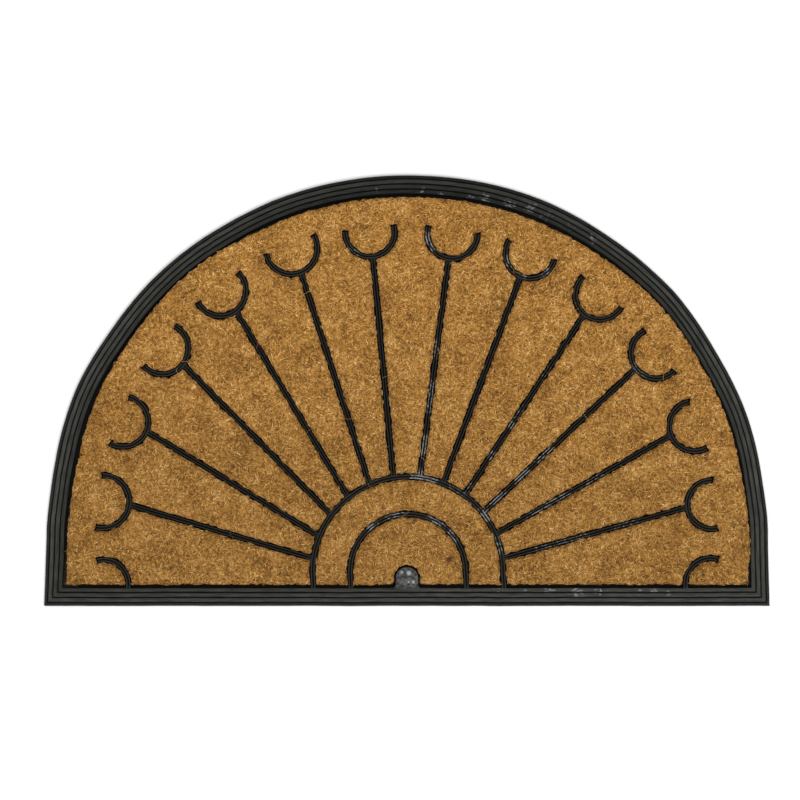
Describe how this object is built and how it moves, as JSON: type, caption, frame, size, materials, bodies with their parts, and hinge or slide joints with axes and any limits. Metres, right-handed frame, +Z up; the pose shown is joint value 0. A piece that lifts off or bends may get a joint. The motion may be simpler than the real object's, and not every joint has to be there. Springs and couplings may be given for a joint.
{
  "type": "half-moon doormat",
  "caption": "Half-moon doormat with a grooved rubber border and raised fanlight ribs, filled with coir pile for wiping shoes.",
  "frame": {"origin": "centre of the mat's box, on the floor", "axes": "+X along the straight edge, +Y from the straight edge towards the top of the arch, +Z up"},
  "size_m": [0.75, 0.4454, 0.0108],
  "materials": {
    "rubber": "matt moulded black rubber with a dusty bloom and pale scuffs on the ribs",
    "coir": "golden brown coconut fibre, coarse and matted, with dark and pale strands"
  },
  "bodies": {
    "root": {"rubber_base": "rubber", "coir_fan": "coir", "coir_ring": "coir", "coir_core": "coir"}
  },
  "joints": []
}
